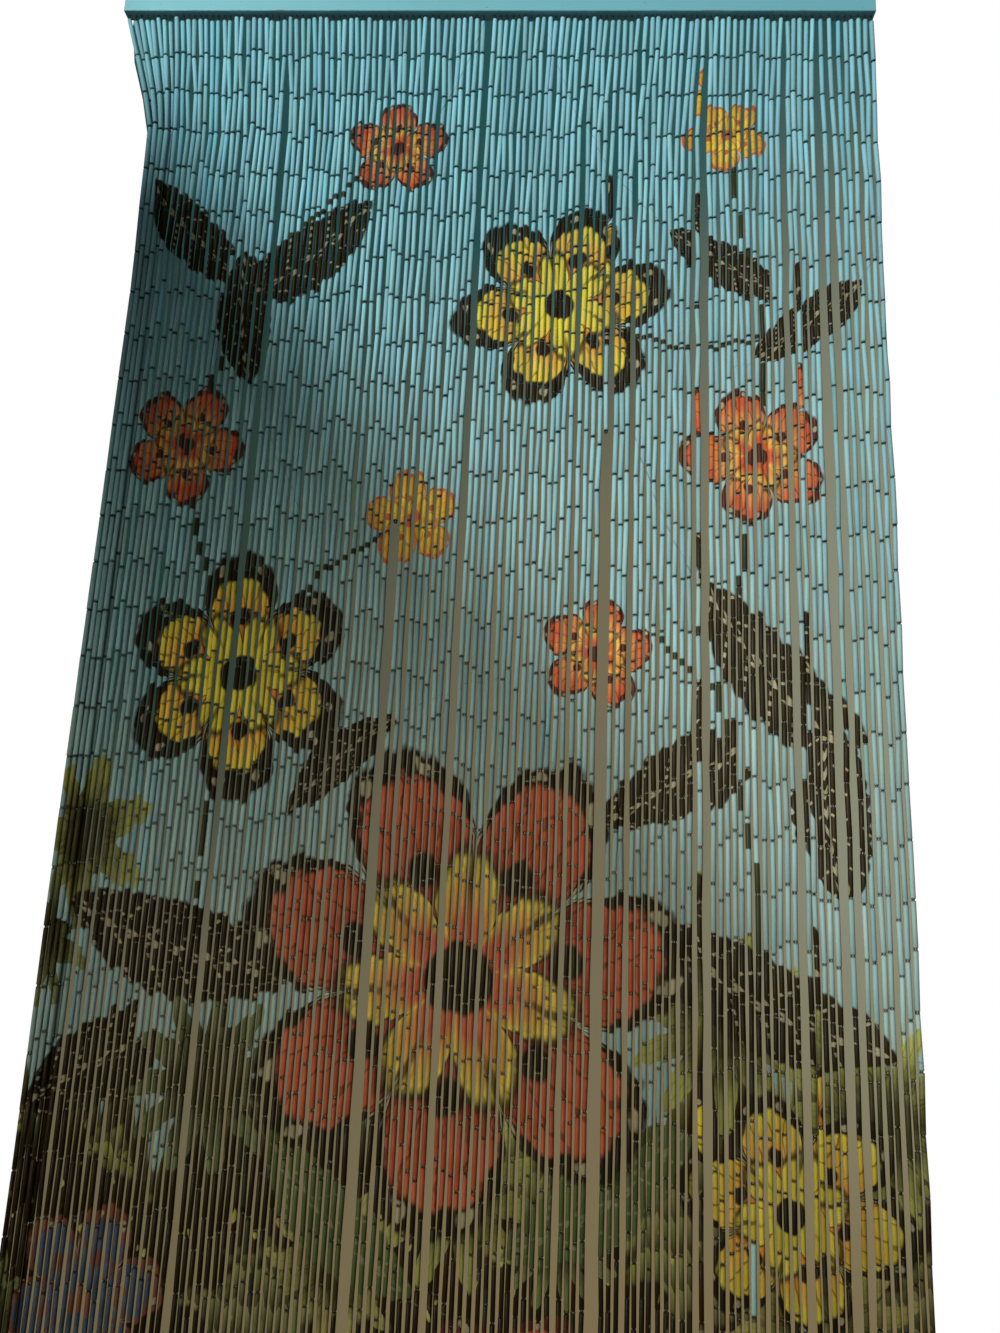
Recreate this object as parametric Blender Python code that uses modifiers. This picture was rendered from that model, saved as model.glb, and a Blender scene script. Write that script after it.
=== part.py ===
# Bead curtain: strands of tube beads that hang from a painted wooden bar.
# Metres, +Z up, +X along the bar, and the curtain's front faces -Y.
# The origin is the centre of the bar's top face, where it meets the head of a doorway.

import math
import random

import bmesh
import bpy

# The bar
BAR_LENGTH = 0.900
BAR_DEPTH = 0.015
BAR_HEIGHT = 0.025
BAR_EDGE = 0.001  # radius of its eased edges
FIT_GAP = 0.0003  # between pieces that meet

# The strands and the narrow strip that their roots are fused into
STRAND_COUNT = 118
STRAND_SIDE = 0.0044  # side of a strand's square section
STRIP_HEIGHT = 0.002
STRIP_END = 0.001  # of the strip past its end strands
ROOT_LEFT = -0.446  # the first strand's middle at the strip
ROOT_RIGHT = 0.446  # the last strand's middle at the strip
BEAD_PITCH = 0.0533  # from joint to joint
BEAD_COUNT = 37  # beads on a whole strand
LENGTH_SPREAD = 0.006  # most that a strand is longer or shorter than the rest

# Where the strands hang, once they have left the strip
HANG_LEFT = -0.3945
HANG_RIGHT = 0.4445
BUNCH_COUNT = 8  # strands pushed together at the left, in two layers
BUNCH_PITCH = 0.00295
LAYER_OFFSET = 0.0027  # how far a layer stands before or behind the middle
LAYER_DROP = 0.04  # below this the layers stand apart in full
UNEVEN = 0.0005  # how far a strand's own place is off the even one
SWAY = 0.0005  # how far a strand strays sideways as it hangs
SWAY_IN_BUNCH = 0.3  # share of that in the bunch, where there is less room
DEPTH_SPREAD = 0.0011  # how far a strand stands before or behind the middle
SEED = 11

# Gaps that are wider than the rest: the strand on the gap's left,
# and what is added to it at the strip and where the strands hang
WIDE_GAPS = (
    (26, 0.0000, 0.0040),
    (42, 0.0010, 0.0020),
    (49, 0.0020, 0.0020),
    (51, 0.0020, 0.0020),
    (58, 0.0060, 0.0055),
    (63, 0.0000, 0.0020),
    (74, 0.0010, 0.0030),
    (79, 0.0000, 0.0030),
    (82, 0.0020, 0.0025),
    (89, 0.0020, 0.0010),
    (91, 0.0000, 0.0030),
    (92, 0.0000, 0.0065),
    (99, 0.0010, 0.0020),
    (104, 0.0000, 0.0055),
    (109, 0.0015, 0.0070),
    (110, 0.0030, 0.0040),
    (111, 0.0025, 0.0020),
    (112, 0.0010, 0.0010),
    (114, 0.0010, 0.0020),
)

# Share of the way from its root to its hanging place that a strand has gone at each drop
LEAN = (
    (0.000, 0.00),
    (0.053, 0.33),
    (0.107, 0.66),
    (0.160, 0.90),
    (0.373, 1.00),
)

# Strands that are broken off, with the beads that are left on each
BROKEN = {49: 12, 79: 10}
# Strands that were linked up again with a bead missing near the top
SHORTENED = (79, 92, 106)

# Drops at which a strand's section is set
LEVELS = (0.053, 0.107, 0.160, 0.373, 1.100)


def strand_spots(left, right, column, bunch_pitch=0.0):
    # x of each strand: even spaces, a little uneven, with the wide gaps' own column added
    draw = random.Random(SEED + column)
    added = {row[0]: row[column] for row in WIDE_GAPS}
    bunched = BUNCH_COUNT - 1 if bunch_pitch else 0
    room = right - left - sum(added.values()) - bunched * bunch_pitch
    pitch = room / (STRAND_COUNT - 1 - bunched)
    spots = []
    x = left
    for strand in range(STRAND_COUNT):
        fixed = strand <= bunched or strand == STRAND_COUNT - 1
        spots.append(x if fixed else x + draw.uniform(-UNEVEN, UNEVEN))
        x += (bunch_pitch if strand < bunched else pitch) + added.get(strand, 0)
    return spots


def lean_at(drop):
    for (high, start), (low, end) in zip(LEAN, LEAN[1:]):
        if drop <= low:
            return start + (end - start) * (drop - high) / (low - high)
    return LEAN[-1][1]


def strand_habits():
    # How each strand strays from plumb, the same on every run
    draw = random.Random(SEED)
    habits = []
    for strand in range(STRAND_COUNT):
        bunched = strand < BUNCH_COUNT
        layer = LAYER_OFFSET if strand % 2 else -LAYER_OFFSET
        stray = draw.uniform(-DEPTH_SPREAD, DEPTH_SPREAD)
        habits.append({
            "depth": layer if bunched else stray,
            "sway": SWAY * (SWAY_IN_BUNCH if bunched else 1) * draw.uniform(0.4, 1),
            "phase": draw.uniform(0, 2 * math.pi),
            "wave": draw.uniform(0.7, 1.5),
            "change": draw.uniform(-LENGTH_SPREAD, LENGTH_SPREAD),
        })
    return habits


ROOTS = strand_spots(ROOT_LEFT, ROOT_RIGHT, 1)
HANGS = strand_spots(HANG_LEFT, HANG_RIGHT, 2, BUNCH_PITCH)
HABITS = strand_habits()


def strand_length(strand):
    beads = BROKEN.get(strand, BEAD_COUNT)
    if strand not in BROKEN and strand in SHORTENED:
        beads -= 1
    return beads * BEAD_PITCH + HABITS[strand]["change"]


def strand_place(strand, drop):
    # The strand's middle, this far below the strip
    habit = HABITS[strand]
    share = lean_at(drop)
    sway = habit["sway"] * math.sin(2 * math.pi * drop / habit["wave"] + habit["phase"])
    x = ROOTS[strand] + share * (HANGS[strand] - ROOTS[strand]) + share * sway
    return x, habit["depth"] * min(1, drop / LAYER_DROP)


def make_material(name, colour, roughness):
    material = bpy.data.materials.new(name)
    material.use_nodes = True
    shader = material.node_tree.nodes["Principled BSDF"]
    shader.inputs["Base Color"].default_value = (*colour, 1)
    shader.inputs["Roughness"].default_value = roughness
    shader.inputs["Metallic"].default_value = 0
    return material


def add_to(collection, piece, material):
    for old in piece.users_collection:
        old.objects.unlink(piece)
    collection.objects.link(piece)
    piece.data.materials.append(material)


def make_head_bar(collection, material):
    bpy.ops.mesh.primitive_cube_add(size=1, location=(0, 0, -BAR_HEIGHT / 2))
    bar = bpy.context.object
    bar.name = "head_bar"
    bar.scale = (BAR_LENGTH, BAR_DEPTH, BAR_HEIGHT)
    bpy.ops.object.transform_apply(location=False, rotation=False, scale=True)
    edges = bar.modifiers.new("Eased edges", "BEVEL")
    edges.width = BAR_EDGE
    edges.segments = 2
    add_to(collection, bar, material)


def cut_strip(mesh):
    # A box, cut across at both sides of every root
    bmesh.ops.create_cube(mesh, size=1)
    length = ROOT_RIGHT - ROOT_LEFT + STRAND_SIDE + 2 * STRIP_END
    top = -BAR_HEIGHT - FIT_GAP
    for vertex in mesh.verts:
        vertex.co.x *= length
        vertex.co.y *= STRAND_SIDE
        vertex.co.z = top if vertex.co.z > 0 else top - STRIP_HEIGHT
    for root in ROOTS:
        for side in (-1, 1):
            bmesh.ops.bisect_plane(
                mesh,
                geom=mesh.verts[:] + mesh.edges[:] + mesh.faces[:],
                plane_co=(root + side * STRAND_SIDE / 2, 0, 0),
                plane_no=(1, 0, 0),
            )


def root_faces(mesh):
    # The face under the strip that each strand grows from, from left to right
    faces = []
    under = [face for face in mesh.faces if face.normal.z < -0.5]
    for root in ROOTS:
        faces.append(min(under, key=lambda face: abs(face.calc_center_median().x - root)))
    return faces


def grow_strand(mesh, face, strand):
    # Draws the root face down, level by level
    strip_bottom = -BAR_HEIGHT - FIT_GAP - STRIP_HEIGHT
    length = strand_length(strand)
    for drop in [level for level in LEVELS if level < length] + [length]:
        grown = bmesh.ops.extrude_discrete_faces(mesh, faces=[face])
        face = grown["faces"][0]
        x, y = strand_place(strand, drop)
        middle = face.calc_center_median()
        move = (x - middle.x, y - middle.y, strip_bottom - drop - middle.z)
        bmesh.ops.translate(mesh, verts=face.verts[:], vec=move)


def make_strand_row(collection, material):
    mesh = bmesh.new()
    cut_strip(mesh)
    mesh.normal_update()
    for strand, face in enumerate(root_faces(mesh)):
        grow_strand(mesh, face, strand)
    bmesh.ops.recalc_face_normals(mesh, faces=mesh.faces[:])
    data = bpy.data.meshes.new("strand_row")
    mesh.to_mesh(data)
    mesh.free()
    add_to(collection, bpy.data.objects.new("strand_row", data), material)


def main():
    for thing in list(bpy.data.objects):
        bpy.data.objects.remove(thing)
    curtain = bpy.data.collections.new("Bead curtain")
    bpy.context.scene.collection.children.link(curtain)
    make_head_bar(curtain, make_material("Painted wood", (0.23, 0.50, 0.53), 0.45))
    make_strand_row(curtain, make_material("Painted bamboo", (0.20, 0.58, 0.63), 0.35))


main()
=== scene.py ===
# Bead curtain: painted bamboo beads on wire links, hung from a painted wooden bar
import math
import random

import bpy
import numpy as np
from mathutils import Matrix, Vector


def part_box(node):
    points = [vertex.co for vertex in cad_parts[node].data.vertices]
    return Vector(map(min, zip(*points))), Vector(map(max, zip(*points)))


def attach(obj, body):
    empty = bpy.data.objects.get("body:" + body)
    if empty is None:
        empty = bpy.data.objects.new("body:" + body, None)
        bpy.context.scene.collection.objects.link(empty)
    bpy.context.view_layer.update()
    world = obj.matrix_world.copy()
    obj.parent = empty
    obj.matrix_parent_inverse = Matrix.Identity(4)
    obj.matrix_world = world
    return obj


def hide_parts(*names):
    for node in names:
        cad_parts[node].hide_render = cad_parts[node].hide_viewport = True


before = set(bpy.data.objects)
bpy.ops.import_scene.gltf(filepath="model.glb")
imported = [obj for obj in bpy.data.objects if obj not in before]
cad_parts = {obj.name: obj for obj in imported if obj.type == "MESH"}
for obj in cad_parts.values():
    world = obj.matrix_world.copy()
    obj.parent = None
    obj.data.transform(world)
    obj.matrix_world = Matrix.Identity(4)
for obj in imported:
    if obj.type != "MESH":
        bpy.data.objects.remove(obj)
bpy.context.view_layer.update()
barLow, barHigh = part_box("head_bar")
rowLow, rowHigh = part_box("strand_row")
print("frame loaded")


# Camera, from the photograph's 1000 x 1333 frame
photoCamera = {
    "frameHeight": 1333,
    "focalPixels": 1000.0,
    "sensor": 36.0,  # mm, along the frame's long side
    "pitch": math.radians(12.609),  # looking up
    "yaw": math.radians(-2.743),
    "roll": math.radians(2.372),
    "place": (0.0878, -0.9908, -1.0235),  # from the middle of the bar's lower front edge
}


def makeCamera(p):
    ahead = Vector((
        math.sin(p["yaw"]) * math.cos(p["pitch"]),
        math.cos(p["yaw"]) * math.cos(p["pitch"]),
        math.sin(p["pitch"]),
    ))
    level = Vector((math.cos(p["yaw"]), -math.sin(p["yaw"]), 0))
    above = level.cross(ahead)
    right = math.cos(p["roll"]) * level + math.sin(p["roll"]) * above
    up = -math.sin(p["roll"]) * level + math.cos(p["roll"]) * above
    data = bpy.data.cameras.new("photoCamera")
    data.sensor_width = p["sensor"]
    data.lens = p["sensor"] * p["focalPixels"] / p["frameHeight"]
    data.clip_start = 0.02
    camera = bpy.data.objects.new("photoCamera", data)
    bpy.context.scene.collection.objects.link(camera)
    edge = Vector((0, barLow.y, barLow.z))
    turn = Matrix((right, up, -ahead)).transposed().to_4x4()
    camera.matrix_world = Matrix.Translation(edge + Vector(p["place"])) @ turn
    bpy.context.scene.camera = camera


makeCamera(photoCamera)


# Where the strands hang: the same plan as the solids, in metres
strandPlan = {
    "count": 118,
    "stripHeight": 0.002,  # of the strip that the roots share
    "rootLeft": -0.446,
    "rootRight": 0.446,
    "hangLeft": -0.3945,
    "hangRight": 0.4445,
    "bunchCount": 8,  # strands pushed together at the left
    "bunchPitch": 0.00295,
    "layerOffset": 0.0027,
    "layerDrop": 0.04,
    "uneven": 0.0005,
    "sway": 0.0005,
    "swayInBunch": 0.3,
    "swayShares": (0.4, 1),
    "waves": (0.7, 1.5),
    "depthSpread": 0.0011,
    "lengthSpread": 0.006,
    "beadPitch": 0.0533,
    "beadCount": 37,
    "seed": 11,
    # strand on the gap's left, more room at the bar, more room below
    "wideGaps": (
        (26, 0.0000, 0.0040),
        (42, 0.0010, 0.0020),
        (49, 0.0020, 0.0020),
        (51, 0.0020, 0.0020),
        (58, 0.0060, 0.0055),
        (63, 0.0000, 0.0020),
        (74, 0.0010, 0.0030),
        (79, 0.0000, 0.0030),
        (82, 0.0020, 0.0025),
        (89, 0.0020, 0.0010),
        (91, 0.0000, 0.0030),
        (92, 0.0000, 0.0065),
        (99, 0.0010, 0.0020),
        (104, 0.0000, 0.0055),
        (109, 0.0015, 0.0070),
        (110, 0.0030, 0.0040),
        (111, 0.0025, 0.0020),
        (112, 0.0010, 0.0010),
        (114, 0.0010, 0.0020),
    ),
    # drop, share of the way to the hanging place
    "lean": ((0.000, 0.00), (0.053, 0.33), (0.107, 0.66), (0.160, 0.90), (0.373, 1.00)),
    "broken": {49: 12, 79: 10},  # strand, beads left
    "shortened": (79, 92, 106),  # a bead lost near the top
}


def strandSpots(p, left, right, column, bunchPitch=0.0):
    draw = random.Random(p["seed"] + column)
    added = {row[0]: row[column] for row in p["wideGaps"]}
    bunched = p["bunchCount"] - 1 if bunchPitch else 0
    room = right - left - sum(added.values()) - bunched * bunchPitch
    pitch = room / (p["count"] - 1 - bunched)
    spots = []
    x = left
    for strand in range(p["count"]):
        fixed = strand <= bunched or strand == p["count"] - 1
        spots.append(x if fixed else x + draw.uniform(-p["uneven"], p["uneven"]))
        x += (bunchPitch if strand < bunched else pitch) + added.get(strand, 0)
    return spots


def strandHabits(p):
    draw = random.Random(p["seed"])
    habits = []
    for strand in range(p["count"]):
        bunched = strand < p["bunchCount"]
        layer = p["layerOffset"] if strand % 2 else -p["layerOffset"]
        stray = draw.uniform(-p["depthSpread"], p["depthSpread"])
        habits.append({
            "depth": layer if bunched else stray,
            "sway": p["sway"] * (p["swayInBunch"] if bunched else 1) * draw.uniform(*p["swayShares"]),
            "phase": draw.uniform(0, 2 * math.pi),
            "wave": draw.uniform(*p["waves"]),
            "change": draw.uniform(-p["lengthSpread"], p["lengthSpread"]),
        })
    return habits


def leanAt(p, drop):
    for (high, start), (low, end) in zip(p["lean"], p["lean"][1:]):
        if drop <= low:
            return start + (end - start) * (drop - high) / (low - high)
    return p["lean"][-1][1]


roots = strandSpots(strandPlan, strandPlan["rootLeft"], strandPlan["rootRight"], 1)
hangEnds = strandPlan["hangLeft"], strandPlan["hangRight"]
hangs = strandSpots(strandPlan, *hangEnds, 2, strandPlan["bunchPitch"])
habits = strandHabits(strandPlan)
stripLow = rowHigh.z - strandPlan["stripHeight"]  # where drops are measured from


def strandPoint(strand, drop):
    p, habit = strandPlan, habits[strand]
    share = leanAt(p, drop)
    sway = habit["sway"] * math.sin(2 * math.pi * drop / habit["wave"] + habit["phase"])
    x = roots[strand] + share * (hangs[strand] - roots[strand]) + share * sway
    y = habit["depth"] * min(1, max(0, drop) / p["layerDrop"])
    return Vector((x, y, stripLow - drop))


# Beads: one entry per bead, in order down each strand
beadPlan = {
    "girth": 0.00262,  # radius
    "girthSpread": 0.09,
    "taper": 0.09,  # how much thinner the low beads look
    "taperDrops": (0.95, 1.30),
    "gap": 0.0014,  # at a joint
    "gapSpread": 0.0007,
    "gapLeast": 0.0007,
    "topSpread": 0.0075,  # most that the first bead hangs below the strip's place
    "pitchSpread": 0.0027,  # of one bead's length
    "oddShare": 0.09,  # of the beads are longer or shorter by more
    "oddLength": 0.006,
    "swing": 0.0013,  # how far a joint strays sideways
    "swingDeep": 0.0012,  # and forwards or back
    "calm": 1.2,  # drop by which the strands stray less
    "calmShare": 0.5,  # and by how much
    "strayInBunch": 0.2,
    "linkTurn": 0.9,  # most that a link is turned
    "pictureSlip": 0.0035,  # how far a strand's painting slipped when it was hung
    "seed": 29,
}


def strandJoints(strand, draw):
    # drops of a strand's joints, which end where the solid does
    p = strandPlan
    count = p["broken"].get(strand, p["beadCount"])
    if strand not in p["broken"] and strand in p["shortened"]:
        count -= 1
    end = count * p["beadPitch"] + habits[strand]["change"]
    top = draw.random() * beadPlan["topSpread"]
    walk = [0.0]
    for _ in range(count):
        odd = draw.choice((-1, 1)) if draw.random() < beadPlan["oddShare"] else 0
        walk.append(walk[-1] + draw.gauss(0, beadPlan["pitchSpread"]) + odd * beadPlan["oddLength"])
    return [
        top + (end - top) * k / count + walk[k] - walk[count] * k / count
        for k in range(count + 1)
    ]


def layBeads(b):
    draw = random.Random(b["seed"])
    beads, links, hooks = [], [], []
    taperHigh, taperLow = b["taperDrops"]
    p = strandPlan
    for strand in range(p["count"]):
        drops = strandJoints(strand, draw)
        points = [strandPoint(strand, drop) for drop in drops]
        for k in range(1, len(points)):
            free = 1 - b["calmShare"] * min(1, drops[k] / b["calm"])
            if strand < p["bunchCount"]:
                free = b["strayInBunch"]
            points[k].x += free * draw.uniform(-1, 1) * b["swing"]
            points[k].y += free * draw.uniform(-1, 1) * b["swingDeep"]
        evenX = p["rootLeft"] + (p["rootRight"] - p["rootLeft"]) * strand / (p["count"] - 1)
        slip = draw.uniform(-1, 1) * b["pictureSlip"]
        tint = draw.random()
        if strand in p["shortened"]:
            slip += p["beadPitch"]
        for k in range(len(points) - 1):
            upper, lower = points[k], points[k + 1]
            along = (upper - lower).normalized()
            gap = max(b["gapLeast"], b["gap"] + draw.uniform(-1, 1) * b["gapSpread"])
            gapTop = 0 if k == 0 else gap / 2
            top, bottom = upper - along * gapTop, lower + along * gap / 2
            girth = b["girth"] * (1 + draw.uniform(-1, 1) * b["girthSpread"])
            lowness = (drops[k] - taperHigh) / (taperLow - taperHigh)
            girth *= 1 - b["taper"] * min(1, max(0, lowness))
            beads.append({
                "strand": strand,
                "middle": (top + bottom) / 2,
                "along": along,
                "length": (top - bottom).length,
                "girth": girth,
                "turn": draw.uniform(0, 2 * math.pi),
                "pictureX": evenX,
                "pictureDrop": (drops[k] + drops[k + 1]) / 2 + (slip if k > 0 else 0),
                "chance": draw.random(),
                "otherChance": draw.random(),
                "tint": tint,
            })
            if k:
                links.append((strand, upper, along, draw.uniform(-b["linkTurn"], b["linkTurn"])))
            else:
                hooks.append((upper, draw.uniform(0, math.pi)))
        # the loop left at the end
        links.append((strand, points[-1], along, draw.uniform(-b["linkTurn"], b["linkTurn"])))
    return beads, links, hooks


beads, links, hooks = layBeads(beadPlan)
spareBead = {"strand": 98, "drop": 1.365, "girth": 1.12}  # a plain, thicker bead put in later
for bead in beads:
    fromSpare = abs(bead["middle"].z - barLow.z + spareBead["drop"])
    bead["spare"] = bead["strand"] == spareBead["strand"] and fromSpare < strandPlan["beadPitch"] / 2
print(len(beads), "beads and", len(links), "links laid out")


# Painting: blossoms, leaves and stems, placed in metres across and down the curtain
palettes = (
    # inner, outer, rim, tips of the small petals
    ((0.66, 0.34, 0.09), (0.50, 0.090, 0.030), (0.07, 0.020, 0.010), (0.70, 0.44, 0.08)),  # orange-red
    ((0.70, 0.58, 0.05), (0.62, 0.34, 0.04), (0.46, 0.110, 0.030), (0.72, 0.60, 0.06)),  # yellow with orange
    ((0.62, 0.20, 0.04), (0.62, 0.55, 0.05), (0.018, 0.013, 0.004), (0.64, 0.56, 0.06)),  # yellow, black edge
    ((0.026, 0.019, 0.007), (0.019, 0.014, 0.004), (0.013, 0.010, 0.003), (0.026, 0.019, 0.007)),  # black
    ((0.18, 0.04, 0.02), (0.42, 0.094, 0.042), (0.018, 0.013, 0.004), (0.56, 0.46, 0.06)),  # red, black edge
    ((0.42, 0.36, 0.05), (0.07, 0.10, 0.030), (0.02, 0.018, 0.008), (0.42, 0.36, 0.05)),  # olive
    ((0.08, 0.12, 0.16), (0.05, 0.080, 0.120), (0.17, 0.060, 0.035), (0.09, 0.13, 0.17)),  # dull blue
)
orangeRed, yellow, yellowBlack, black, redBlack, olive, dullBlue = range(len(palettes))

blossoms = (
    # across, down, radius, turn, petals, rim width, palette
    (-0.100, 0.185, 0.062, 0.3, 5, 0.12, orangeRed),
    (0.285, 0.165, 0.048, 0.9, 5, 0.10, yellow),
    (0.100, 0.385, 0.126, 0.2, 6, 0.22, yellowBlack),
    (-0.325, 0.560, 0.072, 1.1, 5, 0.12, orangeRed),
    (-0.055, 0.640, 0.054, 0.5, 5, 0.10, yellow),
    (0.315, 0.560, 0.078, 0.7, 5, 0.12, orangeRed),
    (-0.235, 0.815, 0.130, 0.6, 6, 0.24, yellowBlack),
    (0.150, 0.780, 0.060, 1.4, 5, 0.12, orangeRed),
    (0.020, 1.105, 0.232, 0.15, 7, 0.14, redBlack),
    (0.335, 1.295, 0.104, 0.8, 6, 0.16, yellowBlack),
    (-0.330, 1.400, 0.085, 0.2, 6, 0.16, dullBlue),
    (0.080, 1.480, 0.100, 1.0, 5, 0.14, orangeRed),
    (-0.150, 1.560, 0.075, 0.4, 6, 0.16, yellow),
    (0.300, 1.620, 0.110, 0.5, 7, 0.14, redBlack),
    (-0.320, 1.720, 0.090, 1.3, 5, 0.12, orangeRed),
    (0.010, 1.780, 0.080, 0.1, 6, 0.16, dullBlue),
)

leaves = (
    # across, down, half length, turn, half width, palette
    (-0.345, 0.300, 0.100, 0.75, 0.30, black),
    (-0.205, 0.330, 0.110, -0.70, 0.32, black),
    (-0.270, 0.405, 0.085, 1.45, 0.34, black),
    (0.290, 0.335, 0.080, 0.55, 0.30, black),
    (0.370, 0.400, 0.075, -0.75, 0.30, black),
    (0.330, 0.800, 0.125, 0.85, 0.30, black),
    (0.245, 0.900, 0.105, -0.55, 0.32, black),
    (0.380, 0.930, 0.090, 1.50, 0.34, black),
    (-0.115, 0.900, 0.075, 2.40, 0.28, black),
    (-0.270, 1.085, 0.130, 0.25, 0.32, black),
    (-0.340, 1.190, 0.105, -0.50, 0.34, black),
    (0.310, 1.110, 0.125, 0.45, 0.32, black),
    (0.165, 1.290, 0.110, -0.60, 0.30, olive),
    (-0.090, 1.320, 0.100, 0.70, 0.30, olive),
)
dashShares = (0.3, 0.75)  # how strong a leaf's dashes are, on green and on black

tuftPlan = {
    "planted": (
        # across, down, radius, turn, fronds, rim width, colour
        (-0.395, 0.985, 0.085, 0.4, 7, 0.0, 0),
        (-0.430, 1.080, 0.070, 1.0, 9, 0.0, 1),
        (0.410, 1.215, 0.090, 0.2, 13, 0.0, 0),
    ),
    "count": 26,  # more of them by chance
    "sides": (-0.45, 0.45),
    "drops": (1.10, 1.97),
    "crowding": 0.8,  # under 1 there are more of them lower down
    "radii": (0.045, 0.095),
    "turns": (0, 6.28),
    "fronds": (7, 9, 11, 13),
    "seed": 17,
}
tuftColours = (
    (0.260, 0.290, 0.070),
    (0.150, 0.180, 0.064),
    (0.310, 0.300, 0.090),
    (0.105, 0.140, 0.056),
)


def plantTufts(p):
    draw = random.Random(p["seed"])
    low, high = p["drops"]
    planted = list(p["planted"])
    for i in range(p["count"]):
        down = low + (high - low) * ((i + draw.random()) / p["count"]) ** p["crowding"]
        planted.append((
            draw.uniform(*p["sides"]),
            down,
            draw.uniform(*p["radii"]),
            draw.uniform(*p["turns"]),
            draw.choice(p["fronds"]),
            0.0,
            draw.randrange(len(tuftColours)),
        ))
    return planted


tufts = plantTufts(tuftPlan)

stems = (
    # across and down at each point, from the ground up
    ((-0.16, 1.40), (-0.20, 1.20), (-0.26, 1.02), (-0.24, 0.82), (-0.30, 0.66), (-0.325, 0.56)),
    ((-0.24, 0.82), (-0.15, 0.70), (-0.055, 0.64)),
    ((-0.325, 0.56), (-0.29, 0.45), (-0.24, 0.32), (-0.16, 0.24), (-0.10, 0.185)),
    ((0.06, 1.40), (0.03, 1.25), (0.015, 1.08)),
    ((0.24, 1.42), (0.30, 1.20), (0.31, 1.00), (0.27, 0.82), (0.30, 0.68), (0.315, 0.56)),
    ((0.27, 0.82), (0.21, 0.76), (0.15, 0.78)),
    ((0.315, 0.56), (0.33, 0.42), (0.30, 0.28), (0.285, 0.165)),
    ((0.33, 0.42), (0.24, 0.44), (0.105, 0.385)),
)
stemWidth = 0.0055
noStem = (9, 9)  # far below the curtain
upright = 1e6  # slope of a stem that runs straight down


def stemBand(x, low, high):
    # the stretch of a bead, by its drop, that a stem covers
    found = None
    for stem in stems:
        for (x0, z0), (x1, z1) in zip(stem, stem[1:]):
            if not min(x0, x1) - stemWidth <= x <= max(x0, x1) + stemWidth:
                continue
            slope = (z1 - z0) / (x1 - x0) if x1 != x0 else upright
            middle = z0 + slope * (x - x0)
            half = stemWidth / 2 * math.hypot(1, slope)
            a = max(middle - half, min(z0, z1))
            b = min(middle + half, max(z0, z1))
            if a < b and b > low and a < high:
                found = (a, b) if found is None else (min(a, found[0]), max(b, found[1]))
    return found or noStem


def motifOn(rows, bead):
    # the motif whose edge is nearest to a bead, or deepest over it
    def edgeGap(row):
        down = max(0, abs(row[1] - bead["pictureDrop"]) - bead["length"] / 2)
        return math.hypot(row[0] - bead["pictureX"], down) - row[2]

    return min(rows, key=edgeGap)


# Node helpers: each finds its tree by the first socket that it is given
def addNode(tree, kind, **settings):
    node = tree.nodes.new(kind)
    for name, value in settings.items():
        setattr(node, name, value)
    return node


def isSocket(value):
    return isinstance(value, bpy.types.NodeSocket)


def feed(socket, value):
    if isSocket(value):
        socket.id_data.links.new(value, socket)
    else:
        socket.default_value = value


def fedNode(kind, values, slots=None, **settings):
    tree = next(value.id_data for value in values if isSocket(value))
    node = addNode(tree, kind, **settings)
    for slot, value in zip(slots or range(len(values)), values):
        feed(node.inputs[slot], value)
    return node


def work(operation, *values):
    return fedNode("ShaderNodeMath", values, operation=operation).outputs[0]


def plus(first, *others):
    for other in others:
        first = work("ADD", first, other)
    return first


def times(first, *others):
    for other in others:
        first = work("MULTIPLY", first, other)
    return first


def minus(first, second):
    return work("SUBTRACT", first, second)


def over(first, second):
    return work("DIVIDE", first, second)


def sizeOf(value):
    return work("ABSOLUTE", value)


def distance(x, y):
    return work("SQRT", plus(times(x, x), times(y, y)))


def workVector(operation, *values):
    return fedNode("ShaderNodeVectorMath", values, operation=operation).outputs[0]


def split(vector):
    return fedNode("ShaderNodeSeparateXYZ", [vector]).outputs[:3]


def join(x, y, z):
    return fedNode("ShaderNodeCombineXYZ", (x, y, z)).outputs[0]


def ramp(value, low, high, toLow=0.0, toHigh=1.0):
    return fedNode("ShaderNodeMapRange", (value, low, high, toLow, toHigh), clamp=True).outputs[0]


def noise(place, scale, detail=2.0, roughness=0.5):
    names = ("Vector", "Scale", "Detail", "Roughness")
    return fedNode("ShaderNodeTexNoise", (place, scale, detail, roughness), names).outputs[0]


def mixColour(share, first, second, blend="MIX"):
    values = [(*value, 1) if isinstance(value, tuple) else value for value in (share, first, second)]
    settings = {"data_type": "RGBA", "blend_type": blend, "clamp_factor": True}
    return fedNode("ShaderNodeMix", values, (0, 6, 7), **settings).outputs[2]


def startGroup(name, inputs, outputs):
    # an input that has no number is a vector
    tree = bpy.data.node_groups.new(name, "ShaderNodeTree")
    for socketName, value in inputs.items():
        kind = "NodeSocketVector" if value is None else "NodeSocketFloat"
        socket = tree.interface.new_socket(name=socketName, in_out="INPUT", socket_type=kind)
        if value is not None:
            socket.default_value = value
    for socketName in outputs:
        tree.interface.new_socket(name=socketName, in_out="OUTPUT", socket_type="NodeSocketFloat")
    return tree, addNode(tree, "NodeGroupInput").outputs, addNode(tree, "NodeGroupOutput").inputs


def useGroup(tree, group, **values):
    node = addNode(tree, "ShaderNodeGroup", node_tree=group)
    for name, value in values.items():
        feed(node.inputs[name], value)
    return node.outputs


# Shader groups
fullTurn = 2 * math.pi


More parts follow.
